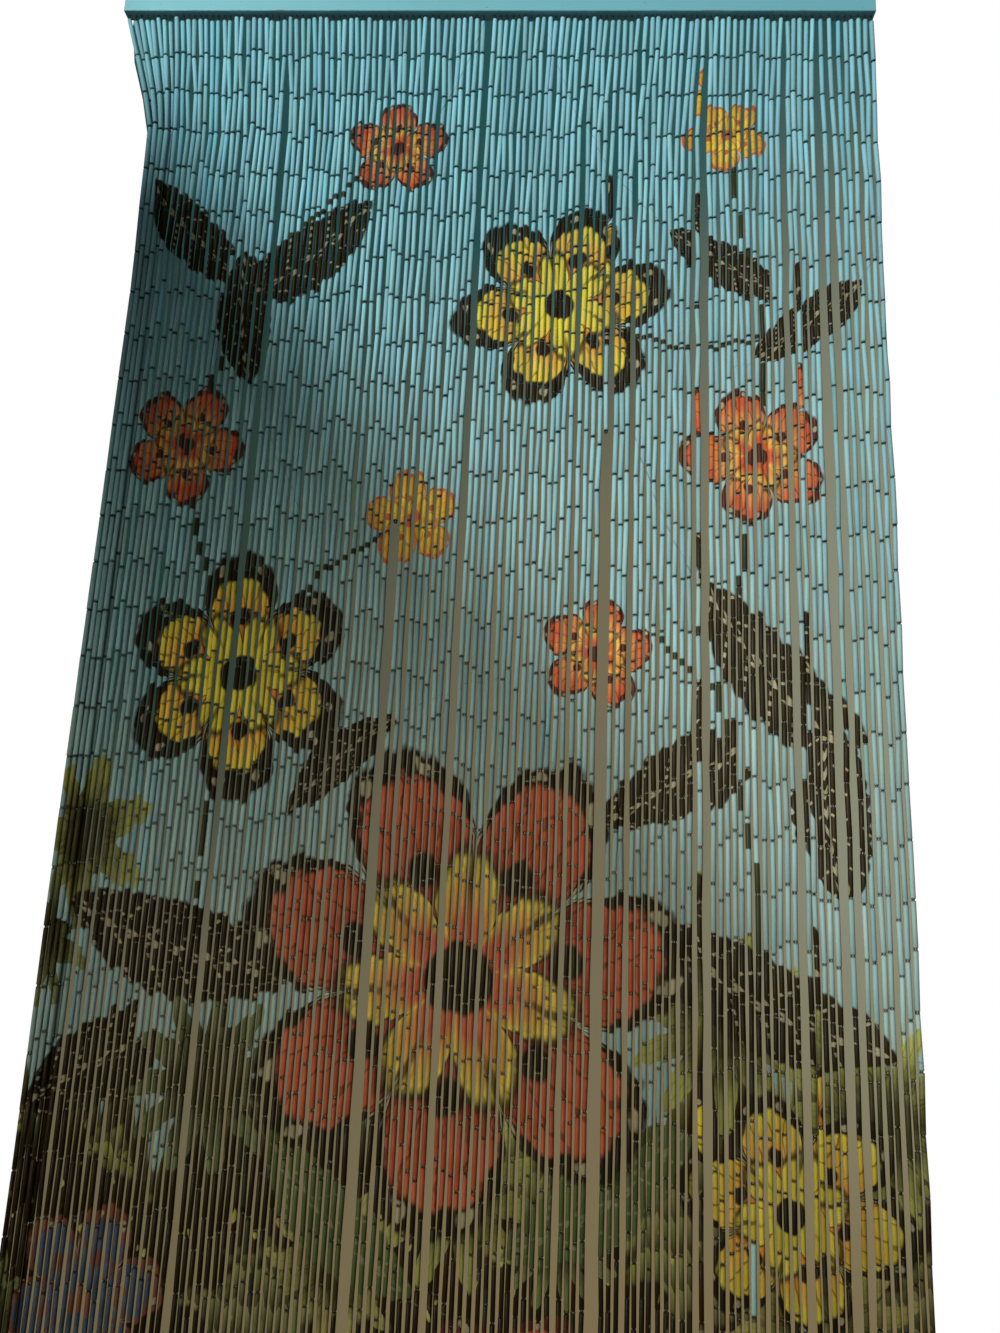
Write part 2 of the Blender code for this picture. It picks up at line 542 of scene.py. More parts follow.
def makeBrushedWood():
    # streaks that run along a painted stick, the thin spots in its paint and its small dents
    tree, given, out = startGroup(
        "brushedWood",
        {"Vector": None, "Streak": 1.0, "Wear": 0.5},
        ("Shade", "Thin", "Height"),
    )
    place = workVector("SCALE", given["Vector"])
    feed(place.node.inputs["Scale"], given["Streak"])
    fine = noise(place, 3.0, 3.0, 0.6)
    broad = noise(workVector("ADD", place, (7.3, 1.9, 4.1)), 0.9, 2.0)
    wearLevel = ramp(given["Wear"], 0.0, 1.0, 0.86, 0.5)
    both = plus(times(fine, 0.6), times(broad, 0.4))
    feed(out["Shade"], ramp(both, 0.3, 0.7))
    feed(out["Thin"], ramp(both, wearLevel, plus(wearLevel, 0.06)))
    feed(out["Height"], fine)
    return tree


def makePaintedBlossom():
    # a round blossom: where its petals, edge, heart, veins and dots are
    tree, given, out = startGroup(
        "paintedBlossom",
        {"Place": None, "Spot": None, "Shape": None, "Point": 0.6},
        ("Petals", "Edge", "Reach", "Heart", "Veins", "Dots", "Specks", "Inner", "Tips", "Folds"),
    )
    across, down, _ = split(given["Place"])
    middleX, middleDown, radius = split(given["Spot"])
    turn, count, rim = split(given["Shape"])
    dx = over(minus(across, middleX), radius)
    dy = over(minus(down, middleDown), radius)
    reach = distance(dx, dy)
    angle = plus(work("ARCTAN2", dy, dx), turn)
    wander = minus(noise(given["Place"], 45.0, 2.0), 0.5)
    lobe = sizeOf(work("COSINE", times(angle, count, 0.5)))
    edge = plus(0.50, times(0.50, work("POWER", lobe, given["Point"])), times(wander, 0.14))
    share = over(reach, edge)
    feed(out["Petals"], ramp(share, 1.015, 0.985))
    rimStart = minus(1.0, rim)
    feed(out["Edge"], ramp(share, rimStart, plus(rimStart, 0.03)))
    feed(out["Reach"], ramp(plus(reach, times(wander, 0.5)), 0.30, 0.80))
    feed(out["Heart"], ramp(reach, 0.155, 0.135))
    vein = sizeOf(work("SINE", plus(times(angle, times(count, 2.5)), times(wander, 3.0))))
    feed(out["Veins"], times(ramp(vein, 0.24, 0.10), ramp(reach, 0.30, 0.55)))

    # a dot in each petal, and three specks along its rim
    slot = work("FRACT", plus(times(angle, count, 1 / fullTurn), 0.5))
    dotArc = times(minus(slot, 0.5), over(times(reach, fullTurn), count))
    feed(out["Dots"], ramp(distance(dotArc, minus(reach, 0.47)), 0.085, 0.065))
    slot = work("FRACT", times(angle, count, 3 / fullTurn))
    speckArc = times(minus(slot, 0.5), over(times(reach, fullTurn / 3), count))
    speckOut = minus(share, minus(1.0, times(rim, 0.5)))
    feed(out["Specks"], ramp(distance(speckArc, speckOut), 0.042, 0.030))

    # a smaller row of petals over the first, between its own
    between = sizeOf(work("SINE", times(angle, count, 0.5)))
    innerEdge = plus(0.22, times(0.30, work("POWER", between, given["Point"])), times(wander, 0.10))
    innerShare = over(reach, innerEdge)
    feed(out["Inner"], ramp(innerShare, 1.03, 0.97))
    feed(out["Tips"], ramp(innerShare, 0.45, 0.92))
    seam = times(ramp(innerShare, 0.90, 0.98), ramp(innerShare, 1.10, 1.02))
    crease = times(ramp(lobe, 0.22, 0.08), ramp(reach, 0.15, 0.40))
    feed(out["Folds"], work("MAXIMUM", seam, crease))
    return tree


def makePaintedLeaf():
    # a pointed leaf: its blade, and the dashes along its rib and side veins
    tree, given, out = startGroup(
        "paintedLeaf",
        {"Place": None, "Spot": None, "Shape": None},
        ("Blade", "Dashes"),
    )
    across, down, _ = split(given["Place"])
    middleX, middleDown, half = split(given["Spot"])
    turn, width, _ = split(given["Shape"])
    dx = over(minus(across, middleX), half)
    dy = over(minus(down, middleDown), half)
    cosine, sine = work("COSINE", turn), work("SINE", turn)
    along = plus(times(dx, cosine), times(dy, sine))
    aside = minus(times(dy, cosine), times(dx, sine))
    square = times(along, along)
    bent = sizeOf(plus(aside, times(0.10, minus(square, 0.4))))
    blade = work("POWER", work("MAXIMUM", minus(1.0, square), 0.0), 0.75)
    teeth = times(0.035, sizeOf(work("SINE", times(along, 17.0))))
    reach = plus(times(blade, width), times(teeth, blade))
    feed(out["Blade"], ramp(minus(reach, bent), -0.010, 0.010))
    slant = minus(along, times(bent, 0.9))
    side = ramp(sizeOf(work("SINE", times(slant, 11.0))), 0.22, 0.12)
    rib = ramp(bent, 0.035, 0.022)
    dash = ramp(work("SINE", times(plus(bent, times(along, 0.4)), 75.0)), 0.0, 0.3)
    feed(out["Dashes"], times(work("MAXIMUM", side, rib), dash))
    return tree


def makePaintedGround():
    # leafage along the foot: how far below the ground's edge a place is, the clumps on the soil,
    # their rows of strokes with light tops, which green they are, and light flecks
    tree, given, out = startGroup(
        "paintedGround",
        {"Place": None, "Drop": 1.2},
        ("Depth", "Clumps", "Strokes", "Tone", "Flecks"),
    )
    across, down, _ = split(given["Place"])
    rough = minus(noise(join(across, 0.0, 0.0), 9.0, 2.0), 0.5)
    blades = minus(noise(join(times(across, 150.0), times(down, 3.0), 2.0), 1.0, 1.0), 0.5)
    edge = plus(times(rough, 0.34), times(blades, 0.16))
    feed(out["Depth"], minus(down, plus(edge, given["Drop"])))
    clumpPlace = workVector("MULTIPLY", given["Place"], (6.0, 9.0, 0.0))
    clump = noise(workVector("ADD", clumpPlace, (0.0, 0.0, 4.0)), 1.0, 3.0, 0.55)
    clump = plus(clump, ramp(across, 0.05, 0.35, 0.0, 0.10))
    feed(out["Clumps"], ramp(clump, 0.55, 0.575))
    wave = noise(join(times(across, 8.0), 0.0, 1.0), 1.0, 1.0)
    jag = noise(join(times(across, 190.0), times(down, 6.0), 7.0), 1.0, 0.0)
    rise = plus(times(down, 36.0), plus(times(wave, 3.0), times(jag, 0.9)))
    feed(out["Strokes"], ramp(work("FRACT", rise), 0.0, 0.85, 1.0, 0.0))
    tone = noise(workVector("ADD", clumpPlace, (8.0, 3.0, 1.0)), 0.6, 1.0)
    feed(out["Tone"], ramp(tone, 0.42, 0.58))
    fleckPlace = workVector("MULTIPLY", given["Place"], (120.0, 55.0, 0.0))
    flecks = noise(workVector("ADD", fleckPlace, (0.0, 0.0, 9.0)), 1.0, 1.0)
    feed(out["Flecks"], ramp(flecks, 0.70, 0.73))
    return tree


brushedWood = makeBrushedWood()
paintedBlossom = makePaintedBlossom()
paintedLeaf = makePaintedLeaf()
paintedGround = makePaintedGround()


def startMaterial(name):
    material = bpy.data.materials.new(name)
    material.use_nodes = True
    tree = material.node_tree
    return material, tree, tree.nodes["Principled BSDF"]


def readAttribute(tree, name, output="Vector"):
    return addNode(tree, "ShaderNodeAttribute", attribute_name=name).outputs[output]


def readPlace(tree, output="Object"):
    return addNode(tree, "ShaderNodeTexCoord").outputs[output]


def addBump(tree, shader, strength, deep, height):
    bump = addNode(tree, "ShaderNodeBump")
    for name, value in (("Strength", strength), ("Distance", deep), ("Height", height)):
        feed(bump.inputs[name], value)
    feed(shader.inputs["Normal"], bump.outputs[0])


bambooPaint = {
    "sky": (0.264, 0.590, 0.664),  # the ground coat high up
    "skyLowAndShade": (0.248, 0.372, 0.350),  # and further down, greyer and warmer: partly the paint, partly painted shade and warm room light
    "skyDrops": (0.08, 1.00),
    "skySlant": -0.25,  # the coat turns to the lower colour sooner towards the right
    "tintShares": (0.70, 0.95),  # strands whose coat is deeper
    "deepTint": (0.80, 0.93, 0.96),
    "soil": (0.022, 0.014, 0.003),
    "grass": (0.070, 0.068, 0.022),
    "grassTip": (0.240, 0.265, 0.058),
    "grassPale": (0.190, 0.205, 0.092),
    "shadow": (0.038, 0.036, 0.011),  # in the heart of a tuft
    "fleck": (0.340, 0.340, 0.080),
    "groundSides": (0.22, 0.42),  # across, where the ground's edge climbs
    "groundDrops": (1.215, 1.150),  # to the left and right of that
    "stemColour": (0.030, 0.036, 0.015),
    "stemBlur": 0.0008,
    "pale": (0.360, 0.340, 0.210),  # dashes and specks
    "tuftPoint": 1.7,  # how pointed the fronds are
    "bloomPoint": 0.55,  # and the petals
    "bamboo": (0.420, 0.290, 0.150),
    "bambooDark": 0.62,  # share of that in the grain
    "wear": 0.52,
    "thin": 0.75,  # how bare the thin spots are
    "thinBehind": 0.55,  # and the streaks on the back
    # painted shade at the bead ends, where the joints are, with some grime: dark teal high up
    "grimeAndShade": (0.009, 0.034, 0.037),
    "grimeAndShadeLow": (0.016, 0.013, 0.006),  # the same painted shade and grime, down in the warm light
    "grimeAndShadeDrops": (0.60, 1.10),
    "grimeAndShadeShares": (0.72, 0.60),  # at the beads' ends
    "cutShare": 0.68,  # of grime and painted shade on the sawn ends
    "endBand": (0.470, 0.492),  # where a bead's end starts, from its middle
    "spareColour": (0.330, 0.600, 0.600),
    "roughness": 0.46,
    "shine": 0.14,
    "bump": (0.35, 0.00025),  # strength, depth
}


def makePaintedBamboo(p):
    material, tree, shader = startMaterial("paintedBamboo")

    def read(name, output="Vector"):
        return readAttribute(tree, name, output)

    def paintedShape(group, name, **values):
        spot, shape = read(name + "Spot"), read(name + "Shape")
        return useGroup(tree, group, Place=place, Spot=spot, Shape=shape, **values)

    place = read("picture")
    across, down, _ = split(place)
    chance, otherChance, spare = split(read("habit"))
    stickX, stickY, stickZ = split(read("stick"))
    grainX, grainY = plus(stickX, times(chance, 91.0)), plus(stickY, times(otherChance, 57.0))
    grainPlace = join(grainX, grainY, times(stickZ, 1.1))
    wood = useGroup(tree, brushedWood, Vector=grainPlace, Streak=1.0, Wear=p["wear"])

    # the ground coat, greyer and warmer lower down: partly painted shade
    cloud = noise(place, 5.0, 3.0)
    drop = plus(down, times(minus(cloud, 0.5), 0.35))
    drop = minus(drop, times(across, p["skySlant"]))
    colour = mixColour(ramp(drop, *p["skyDrops"]), p["sky"], p["skyLowAndShade"])
    tint = split(read("tint"))[0]
    deeper = mixColour(1.0, colour, p["deepTint"], "MULTIPLY")
    colour = mixColour(ramp(tint, *p["tintShares"]), colour, deeper)

    # soil along the foot, with leafage on it and tufts that stand out of it
    groundDrop = ramp(across, *p["groundSides"], *p["groundDrops"])
    foot = useGroup(tree, paintedGround, Place=place, Drop=groundDrop)
    leafage = mixColour(foot["Tone"], p["grassTip"], p["grassPale"])
    leafage = mixColour(foot["Strokes"], p["grass"], leafage)
    ground = mixColour(foot["Clumps"], p["soil"], leafage)
    ground = mixColour(foot["Flecks"], ground, p["fleck"])
    verge = mixColour(ramp(across, 0.15, 0.38), p["grass"], p["grassTip"])
    ground = mixColour(times(ramp(foot["Depth"], 0.045, 0.0), 0.8), ground, verge)
    colour = mixColour(ramp(foot["Depth"], -0.003, 0.003), colour, ground)
    tuft = paintedShape(paintedBlossom, "tuft", Point=p["tuftPoint"])
    frond = mixColour(tuft["Reach"], p["shadow"], read("tuftColour", "Color"))
    for part, share in (("Veins", 0.4), ("Folds", 0.8)):
        frond = mixColour(times(tuft[part], share), frond, p["shadow"])
    colour = mixColour(tuft["Petals"], colour, frond)

    # stems, leaves, blossoms
    stemLow, stemHigh, _ = split(read("stem"))
    belowLow = ramp(minus(down, stemLow), -p["stemBlur"], p["stemBlur"])
    aboveHigh = ramp(minus(stemHigh, down), -p["stemBlur"], p["stemBlur"])
    colour = mixColour(times(belowLow, aboveHigh), colour, p["stemColour"])
    leaf = paintedShape(paintedLeaf, "leaf")
    dashes = times(leaf["Dashes"], split(read("leafShape"))[2])
    leafColour = mixColour(dashes, read("leafColour", "Color"), p["pale"])
    colour = mixColour(leaf["Blade"], colour, leafColour)
    bloom = paintedShape(paintedBlossom, "bloom", Point=p["bloomPoint"])
    inner, outer, rim, tips = (read("bloom" + part, "Color") for part in ("Inner", "Outer", "Rim", "Tips"))
    petal = mixColour(bloom["Reach"], inner, outer)
    petal = mixColour(bloom["Inner"], petal, mixColour(bloom["Tips"], outer, tips))
    for part, share in (("Veins", 0.6), ("Folds", 0.85), ("Dots", 1.0), ("Edge", 1.0)):
        petal = mixColour(times(bloom[part], share), petal, rim)
    petal = mixColour(times(bloom["Specks"], 0.8), petal, p["pale"])
    petal = mixColour(bloom["Heart"], petal, rim)
    colour = mixColour(bloom["Petals"], colour, petal)
    colour = mixColour(spare, colour, p["spareColour"])

    # brush marks and bead by bead differences
    lift = ramp(chance, 0.0, 1.0, 0.84, 1.12)
    lift = times(lift, ramp(work("FRACT", times(tint, 7.0)), 0.0, 1.0, 0.93, 1.07))
    lift = times(lift, ramp(wood["Shade"], 0.0, 1.0, 0.88, 1.10))
    blueLift = times(lift, ramp(otherChance, 0.0, 1.0, 0.96, 1.04))
    colour = mixColour(1.0, colour, join(lift, lift, blueLift), "MULTIPLY")

    # painted shade and grime at the ends, wear, thin paint and bare streaks on the back
    ends = ramp(sizeOf(stickZ), *p["endBand"])
    worn = times(ends, ramp(wood["Shade"], 0.66, 0.95))
    grimeAndShade = mixColour(ramp(down, *p["grimeAndShadeDrops"]), p["grimeAndShade"], p["grimeAndShadeLow"])
    colour = mixColour(times(ends, ramp(down, *p["grimeAndShadeDrops"], *p["grimeAndShadeShares"])), colour, grimeAndShade)
    bare = work("MAXIMUM", times(wood["Thin"], p["thin"]), worn)
    behind = ramp(split(readPlace(tree, "Normal"))[1], 0.15, 0.75)
    streaks = times(ramp(wood["Shade"], 0.30, 0.62), p["thinBehind"])
    bare = work("MAXIMUM", bare, times(behind, streaks))
    darkBamboo = tuple(p["bambooDark"] * part for part in p["bamboo"])
    bamboo = mixColour(wood["Shade"], p["bamboo"], darkBamboo)
    colour = mixColour(bare, colour, bamboo)

    # the sawn ends, with painted shade for the dark bore in their middle
    bore = read("bore", "Fac")
    sawn = mixColour(ramp(bore, 0.60, 0.50, p["cutShare"], 1.0), bamboo, grimeAndShade)
    colour = mixColour(ramp(bore, 0.97, 0.90), colour, sawn)
    feed(shader.inputs["Base Color"], colour)
    dullness = plus(times(wood["Shade"], 0.6), times(bare, 0.6))
    gloss = ramp(dullness, 0.0, 1.2, p["roughness"] - 0.08, p["roughness"] + 0.26)
    feed(shader.inputs["Roughness"], gloss)
    feed(shader.inputs["Specular IOR Level"], p["shine"])
    addBump(tree, shader, *p["bump"], minus(wood["Height"], times(bare, 0.5)))
    return material


paintedBamboo = makePaintedBamboo(bambooPaint)
print("bead paint made")


wirePaint = {
    "bright": (0.012, 0.050, 0.050),
    # paler and warmer lower down: a painted glint, the pale dots at the joints
    "brightLowAndGlint": (0.066, 0.060, 0.042),
    "lowHeights": (-0.65, -1.15),
    "dark": (0.004, 0.016, 0.018),
    "rust": (0.036, 0.024, 0.014),
    "metallic": 0.10,
    "shine": 0.22,
}


def makeDarkWire(p):
    material, tree, shader = startMaterial("darkWire")
    place = readPlace(tree)
    patches = noise(place, 260.0, 2.0)
    bright = mixColour(ramp(split(place)[2], *p["lowHeights"]), p["bright"], p["brightLowAndGlint"])
    colour = mixColour(ramp(patches, 0.35, 0.62), p["dark"], bright)
    rust = ramp(noise(workVector("ADD", place, (3.1, 8.2, 1.7)), 40.0, 2.0), 0.62, 0.76)
    colour = mixColour(times(rust, 0.7), colour, p["rust"])
    feed(shader.inputs["Base Color"], colour)
    feed(shader.inputs["Roughness"], ramp(patches, 0.3, 0.7, 0.40, 0.66))
    feed(shader.inputs["Specular IOR Level"], p["shine"])
    feed(shader.inputs["Metallic"], times(minus(1.0, rust), p["metallic"]))
    return material


darkWire = makeDarkWire(wirePaint)


# Geometry Nodes
def startTree(name, sizes):
    tree = bpy.data.node_groups.new(name, "GeometryNodeTree")
    kinds = {"Geometry": "NodeSocketGeometry"}
    for socketName, value in sizes.items():
        kinds[socketName] = "NodeSocketInt" if isinstance(value, int) else "NodeSocketFloat"
    kinds["Material"] = "NodeSocketMaterial"
    for socketName, kind in kinds.items():
        tree.interface.new_socket(name=socketName, in_out="INPUT", socket_type=kind)
    tree.interface.new_socket(name="Geometry", in_out="OUTPUT", socket_type="NodeSocketGeometry")
    return tree, addNode(tree, "NodeGroupInput").outputs, addNode(tree, "NodeGroupOutput").inputs


def readNamed(tree, name):
    node = addNode(tree, "GeometryNodeInputNamedAttribute", data_type="FLOAT_VECTOR")
    node.inputs["Name"].default_value = name
    return node.outputs["Attribute"]


def readPosition(tree):
    return addNode(tree, "GeometryNodeInputPosition").outputs[0]


def keepNamed(geometry, name, value, kind="FLOAT_VECTOR", domain="POINT"):
    settings = {"data_type": kind, "domain": domain}
    names = ("Geometry", "Name", "Value")
    return fedNode("GeometryNodeStoreNamedAttribute", (geometry, name, value), names, **settings).outputs[0]


def putOnPoints(tree, points, piece):
    turn = fedNode("FunctionNodeEulerToRotation", [readNamed(tree, "turn")]).outputs[0]
    names = ("Points", "Instance", "Rotation", "Scale")
    values = (points, piece, turn, readNamed(tree, "size"))
    placed = fedNode("GeometryNodeInstanceOnPoints", values, names)
    return fedNode("GeometryNodeRealizeInstances", [placed.outputs[0]]).outputs[0]


def finishTree(tree, geometry, material, out):
    node = fedNode("GeometryNodeSetMaterial", (geometry, material), ("Geometry", "Material"))
    feed(out[0], node.outputs[0])
    return tree


def shadeSmooth(geometry, selection=True):
    return fedNode("GeometryNodeSetShadeSmooth", (geometry, selection), ("Geometry", "Selection")).outputs[0]


def setPlace(geometry, place):
    return fedNode("GeometryNodeSetPosition", (geometry, place), ("Geometry", "Position")).outputs[0]


def keepInCell(tree, geometry, given, cellU, cellV):
    # the map for the bake, with a cell for each copy of the shape
    cellX, cellY, _ = split(readNamed(tree, "cell"))
    u = plus(cellX, times(cellU, given["Cell Width"]))
    v = plus(cellY, times(cellV, given["Cell Height"]))
    return keepNamed(geometry, "OFBake", join(u, v, 0.0), "FLOAT2", "CORNER")


tubeSizes = {
    "Sides": 10,
    "Chamfer": 0.010,  # share of a bead's length
    "End Radius": 0.84,  # share of its thickness
    "Cell Width": 0.01,
    "Cell Height": 0.1,
}
# a bead's cell of the map: its side over most of it, its two ends in the rest
tubeMap = {"endHeight": 0.22, "sideFoot": 0.14, "sideHeight": 0.84, "margin": 0.05}


def makeBeadTubes():
    tree, given, out = startTree("beadTubes", tubeSizes)
    tube = addNode(tree, "GeometryNodeMeshCylinder", fill_type="TRIANGLE_FAN")
    sizes = {"Vertices": given["Sides"], "Side Segments": 3, "Radius": 1, "Depth": 1}
    for name, value in sizes.items():
        feed(tube.inputs[name], value)
    tubes = keepNamed(tube.outputs["Mesh"], "tubeMap", tube.outputs["UV Map"], "FLOAT2", "CORNER")
    x, y, z = split(readPosition(tree))
    atEnd = work("GREATER_THAN", sizeOf(z), 0.3)
    inward = minus(1.0, times(atEnd, minus(1.0, given["End Radius"])))
    step = times(minus(1.0, atEnd), given["Chamfer"])
    level = times(work("SIGN", z), minus(0.5, step))
    bore = times(distance(x, y), minus(1.2, times(atEnd, 0.215)))  # under 1 on the ends alone
    tubes = keepNamed(tubes, "bore", bore, "FLOAT")
    tubes = setPlace(tubes, join(times(x, inward), times(y, inward), level))
    tubes = keepNamed(tubes, "stick", readPosition(tree))
    normalZ = split(addNode(tree, "GeometryNodeInputNormal").outputs[0])[2]
    tubes = shadeSmooth(tubes, False)
    tubes = shadeSmooth(tubes, work("LESS_THAN", sizeOf(normalZ), 0.95))
    tubes = putOnPoints(tree, given["Geometry"], tubes)

    # where on the painting each point lies
    awayX, _, awayZ = split(workVector("SUBTRACT", readPosition(tree), readNamed(tree, "middle")))
    paintedX, paintedDown, _ = split(readNamed(tree, "painted"))
    tubes = keepNamed(tubes, "picture", join(plus(paintedX, awayX), minus(paintedDown, awayZ), 0.0))

    # where in its own cell of the map
    m = tubeMap
    mapU, mapV, _ = split(readNamed(tree, "tubeMap"))
    stickZ = split(readNamed(tree, "stick"))[2]
    onSide = work("GREATER_THAN", mapV, 0.49)
    sideV = plus(m["sideFoot"], times(plus(stickZ, 0.5), m["sideHeight"]))
    cellV = plus(times(onSide, sideV), times(minus(1.0, onSide), times(mapV, m["endHeight"])))
    cellU = plus(m["margin"], times(mapU, 1 - 2 * m["margin"]))
    tubes = keepInCell(tree, tubes, given, cellU, cellV)
    return finishTree(tree, tubes, given["Material"], out)


linkSizes = {
    "Ring Points": 8,
    "Wire Points": 4,
    "Wire Radius": 0.00088,
    "Ring Width": 0.0015,  # half of the loop's width and height
    "Ring Height": 0.0026,
    "Cell Width": 0.01,
    "Cell Height": 0.01,
}
hookSizes = {
    "Ring Points": 12,
    "Wire Points": 5,
    "Wire Radius": 0.00042,
    "Ring Width": 0.0012,
    "Ring Height": 0.0030,
    "Cell Width": 0.05,
    "Cell Height": 0.05,
}
ringRoom = (1.5, 1.2)  # times its half width and height: the room that a ring has in its cell


def makeWireTree(name, sizes):
    tree, given, out = startTree(name, sizes)
    ring = addNode(tree, "GeometryNodeCurvePrimitiveCircle", mode="RADIUS")
    feed(ring.inputs["Resolution"], given["Ring Points"])
    feed(ring.inputs["Radius"], 1)
    wire = addNode(tree, "GeometryNodeCurvePrimitiveCircle", mode="RADIUS")
    feed(wire.inputs["Resolution"], given["Wire Points"])
    feed(wire.inputs["Radius"], given["Wire Radius"])
    x, y, _ = split(readPosition(tree))
    stretched = join(times(x, given["Ring Width"]), 0.0, times(y, given["Ring Height"]))
    path = setPlace(ring.outputs["Curve"], stretched)
    names = ("Curve", "Profile Curve", "Fill Caps")
    sweep = fedNode("GeometryNodeCurveToMesh", (path, wire.outputs["Curve"], True), names)
    loops = shadeSmooth(sweep.outputs[0])
    loops = keepNamed(loops, "loop", readPosition(tree))
    loops = putOnPoints(tree, given["Geometry"], loops)
    loopX, _, loopZ = split(readNamed(tree, "loop"))
    halfWidth, halfHeight = ringRoom[0] * sizes["Ring Width"], ringRoom[1] * sizes["Ring Height"]
    cellU, cellV = ramp(loopX, -halfWidth, halfWidth), ramp(loopZ, -halfHeight, halfHeight)
    loops = keepInCell(tree, loops, given, cellU, cellV)
    return finishTree(tree, loops, given["Material"], out)


def pointMesh(name, rows):
    # a point for each row, with what its tree needs to know about it
    data = bpy.data.meshes.new(name + "Points")
    data.vertices.add(len(rows))
    data.vertices.foreach_set("co", np.array([row["middle"] for row in rows], np.float32).ravel())
    for key in rows[0]:
        layer = data.attributes.new(key, "FLOAT_VECTOR", "POINT")
        layer.data.foreach_set("vector", np.array([row[key] for row in rows], np.float32).ravel())
    return data


def putInScene(name, data):
    piece = bpy.data.objects.new(name, data)
    bpy.context.scene.collection.objects.link(piece)
    return piece


def growPiece(name, rows, tree, sizes, material, across):
    # one plain mesh, whose map has this many cells in a row
    down = math.ceil(len(rows) / across)
    for i, row in enumerate(rows):
        row["cell"] = (i % across / across, i // across / down, 0)
    data = pointMesh(name, rows)
    points = putInScene(name + "Points", data)
    modifier = points.modifiers.new("Grow", "NODES")
    modifier.node_group = tree
    values = {**sizes, "Material": material, "Cell Width": 1 / across, "Cell Height": 1 / down}
    for item in tree.interface.items_tree:
        if item.in_out == "INPUT" and item.name in values:
            modifier[item.identifier] = values[item.name]
    graph = bpy.context.evaluated_depsgraph_get()
    mesh = bpy.data.meshes.new_from_object(points.evaluated_get(graph), depsgraph=graph)
    bpy.data.objects.remove(points)
    bpy.data.meshes.remove(data)
    mesh.name = name
    for key in ("turn", "size", "middle", "painted", "cell", "tubeMap", "loop"):
        if key in mesh.attributes:
            mesh.attributes.remove(mesh.attributes[key])
    piece = putInScene(name, mesh)
    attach(piece, "root")
    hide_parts("strand_row")
    return piece


def turnAlong(along, spin):
    # the turn that stands a stick along this line, spun about itself
    stand = Vector((0, 0, 1)).rotation_difference(along)
    return (stand.to_matrix() @ Matrix.Rotation(spin, 3, "Z")).to_euler()


def beadRow(bead):
    bloom, leaf, tuft = (motifOn(rows, bead) for rows in (blossoms, leaves, tufts))
    inner, outer, rim, tips = palettes[bloom[6]]
    half = bead["length"] / 2
    low, high = stemBand(bead["pictureX"], bead["pictureDrop"] - half, bead["pictureDrop"] + half)
    girth = bead["girth"] * (spareBead["girth"] if bead["spare"] else 1)
    return {
        "middle": bead["middle"],
        "turn": turnAlong(bead["along"], bead["turn"]),
        "size": (girth, girth, bead["length"]),
        "painted": (bead["pictureX"], bead["pictureDrop"], 0),
        "habit": (bead["chance"], bead["otherChance"], float(bead["spare"])),
        "tint": (bead["tint"], 0, 0),
        "stem": (low, high, 0),
        "bloomSpot": bloom[:3],
        "bloomShape": bloom[3:6],
        "bloomInner": inner,
        "bloomOuter": outer,
        "bloomRim": rim,
        "bloomTips": tips,
        "tuftSpot": tuft[:3],
        "tuftShape": tuft[3:6],
        "tuftColour": tuftColours[tuft[6]],
        "leafSpot": leaf[:3],
        "leafShape": (leaf[3], leaf[4], dashShares[leaf[5] == black]),
        "leafColour": palettes[leaf[5]][1],
    }


bunches = 8  # pieces that the beads are split into, from left to right
bunchSize = math.ceil(strandPlan["count"] / bunches)
beadTubes = makeBeadTubes()
for bunch in range(bunches):
    rows = [beadRow(bead) for bead in beads if bead["strand"] // bunchSize == bunch]
    piece = growPiece(f"beads_{bunch + 1}", rows, beadTubes, tubeSizes, paintedBamboo, 70)
print("beads strung")

linkTree = makeWireTree("wireLinks", linkSizes)
for half in range(2):
    rows = [
        {"middle": middle, "turn": turnAlong(along, turn), "size": (1, 1, 1)}
        for strand, middle, along, turn in links
        if (strand >= strandPlan["count"] / 2) == half
    ]
    growPiece(f"links_{half + 1}", rows, linkTree, linkSizes, darkWire, 50)

hookTree = makeWireTree("wireHooks", hookSizes)
hookReach = 0.0012  # how far a hook goes up into the bar and down into the first bead
rows = []
for point, turn in hooks:
    high, low = barLow.z + hookReach, point.z - hookReach
    rows.append({
        "middle": (point.x, point.y, (high + low) / 2),
        "turn": (0, 0, turn),
        "size": (1, 1, (high - low) / 2 / hookSizes["Ring Height"]),
    })
growPiece("hooks", rows, hookTree, hookSizes, darkWire, 12)
print("links and hooks made")


barPaint = {
    "coat": (0.218, 0.610, 0.672),
    "coatFar": (0.172, 0.490, 0.572),  # towards the right, where the face is darker
    "coatWorn": (0.130, 0.370, 0.420),
    "wood": (0.360, 0.255, 0.150),
    "woodDark": 0.5,  # share of that in the grain
    "roughness": 0.40,
    "grain": (0.16, 1.0, 1.0),  # how much the grain is drawn out along the bar
    "fine": 330.0,  # how fine it is
    "wear": 0.30,
    "edge": 0.0013,  # how far from an edge the paint wears
    "bump": (0.45, 0.0004),  # strength, depth
}


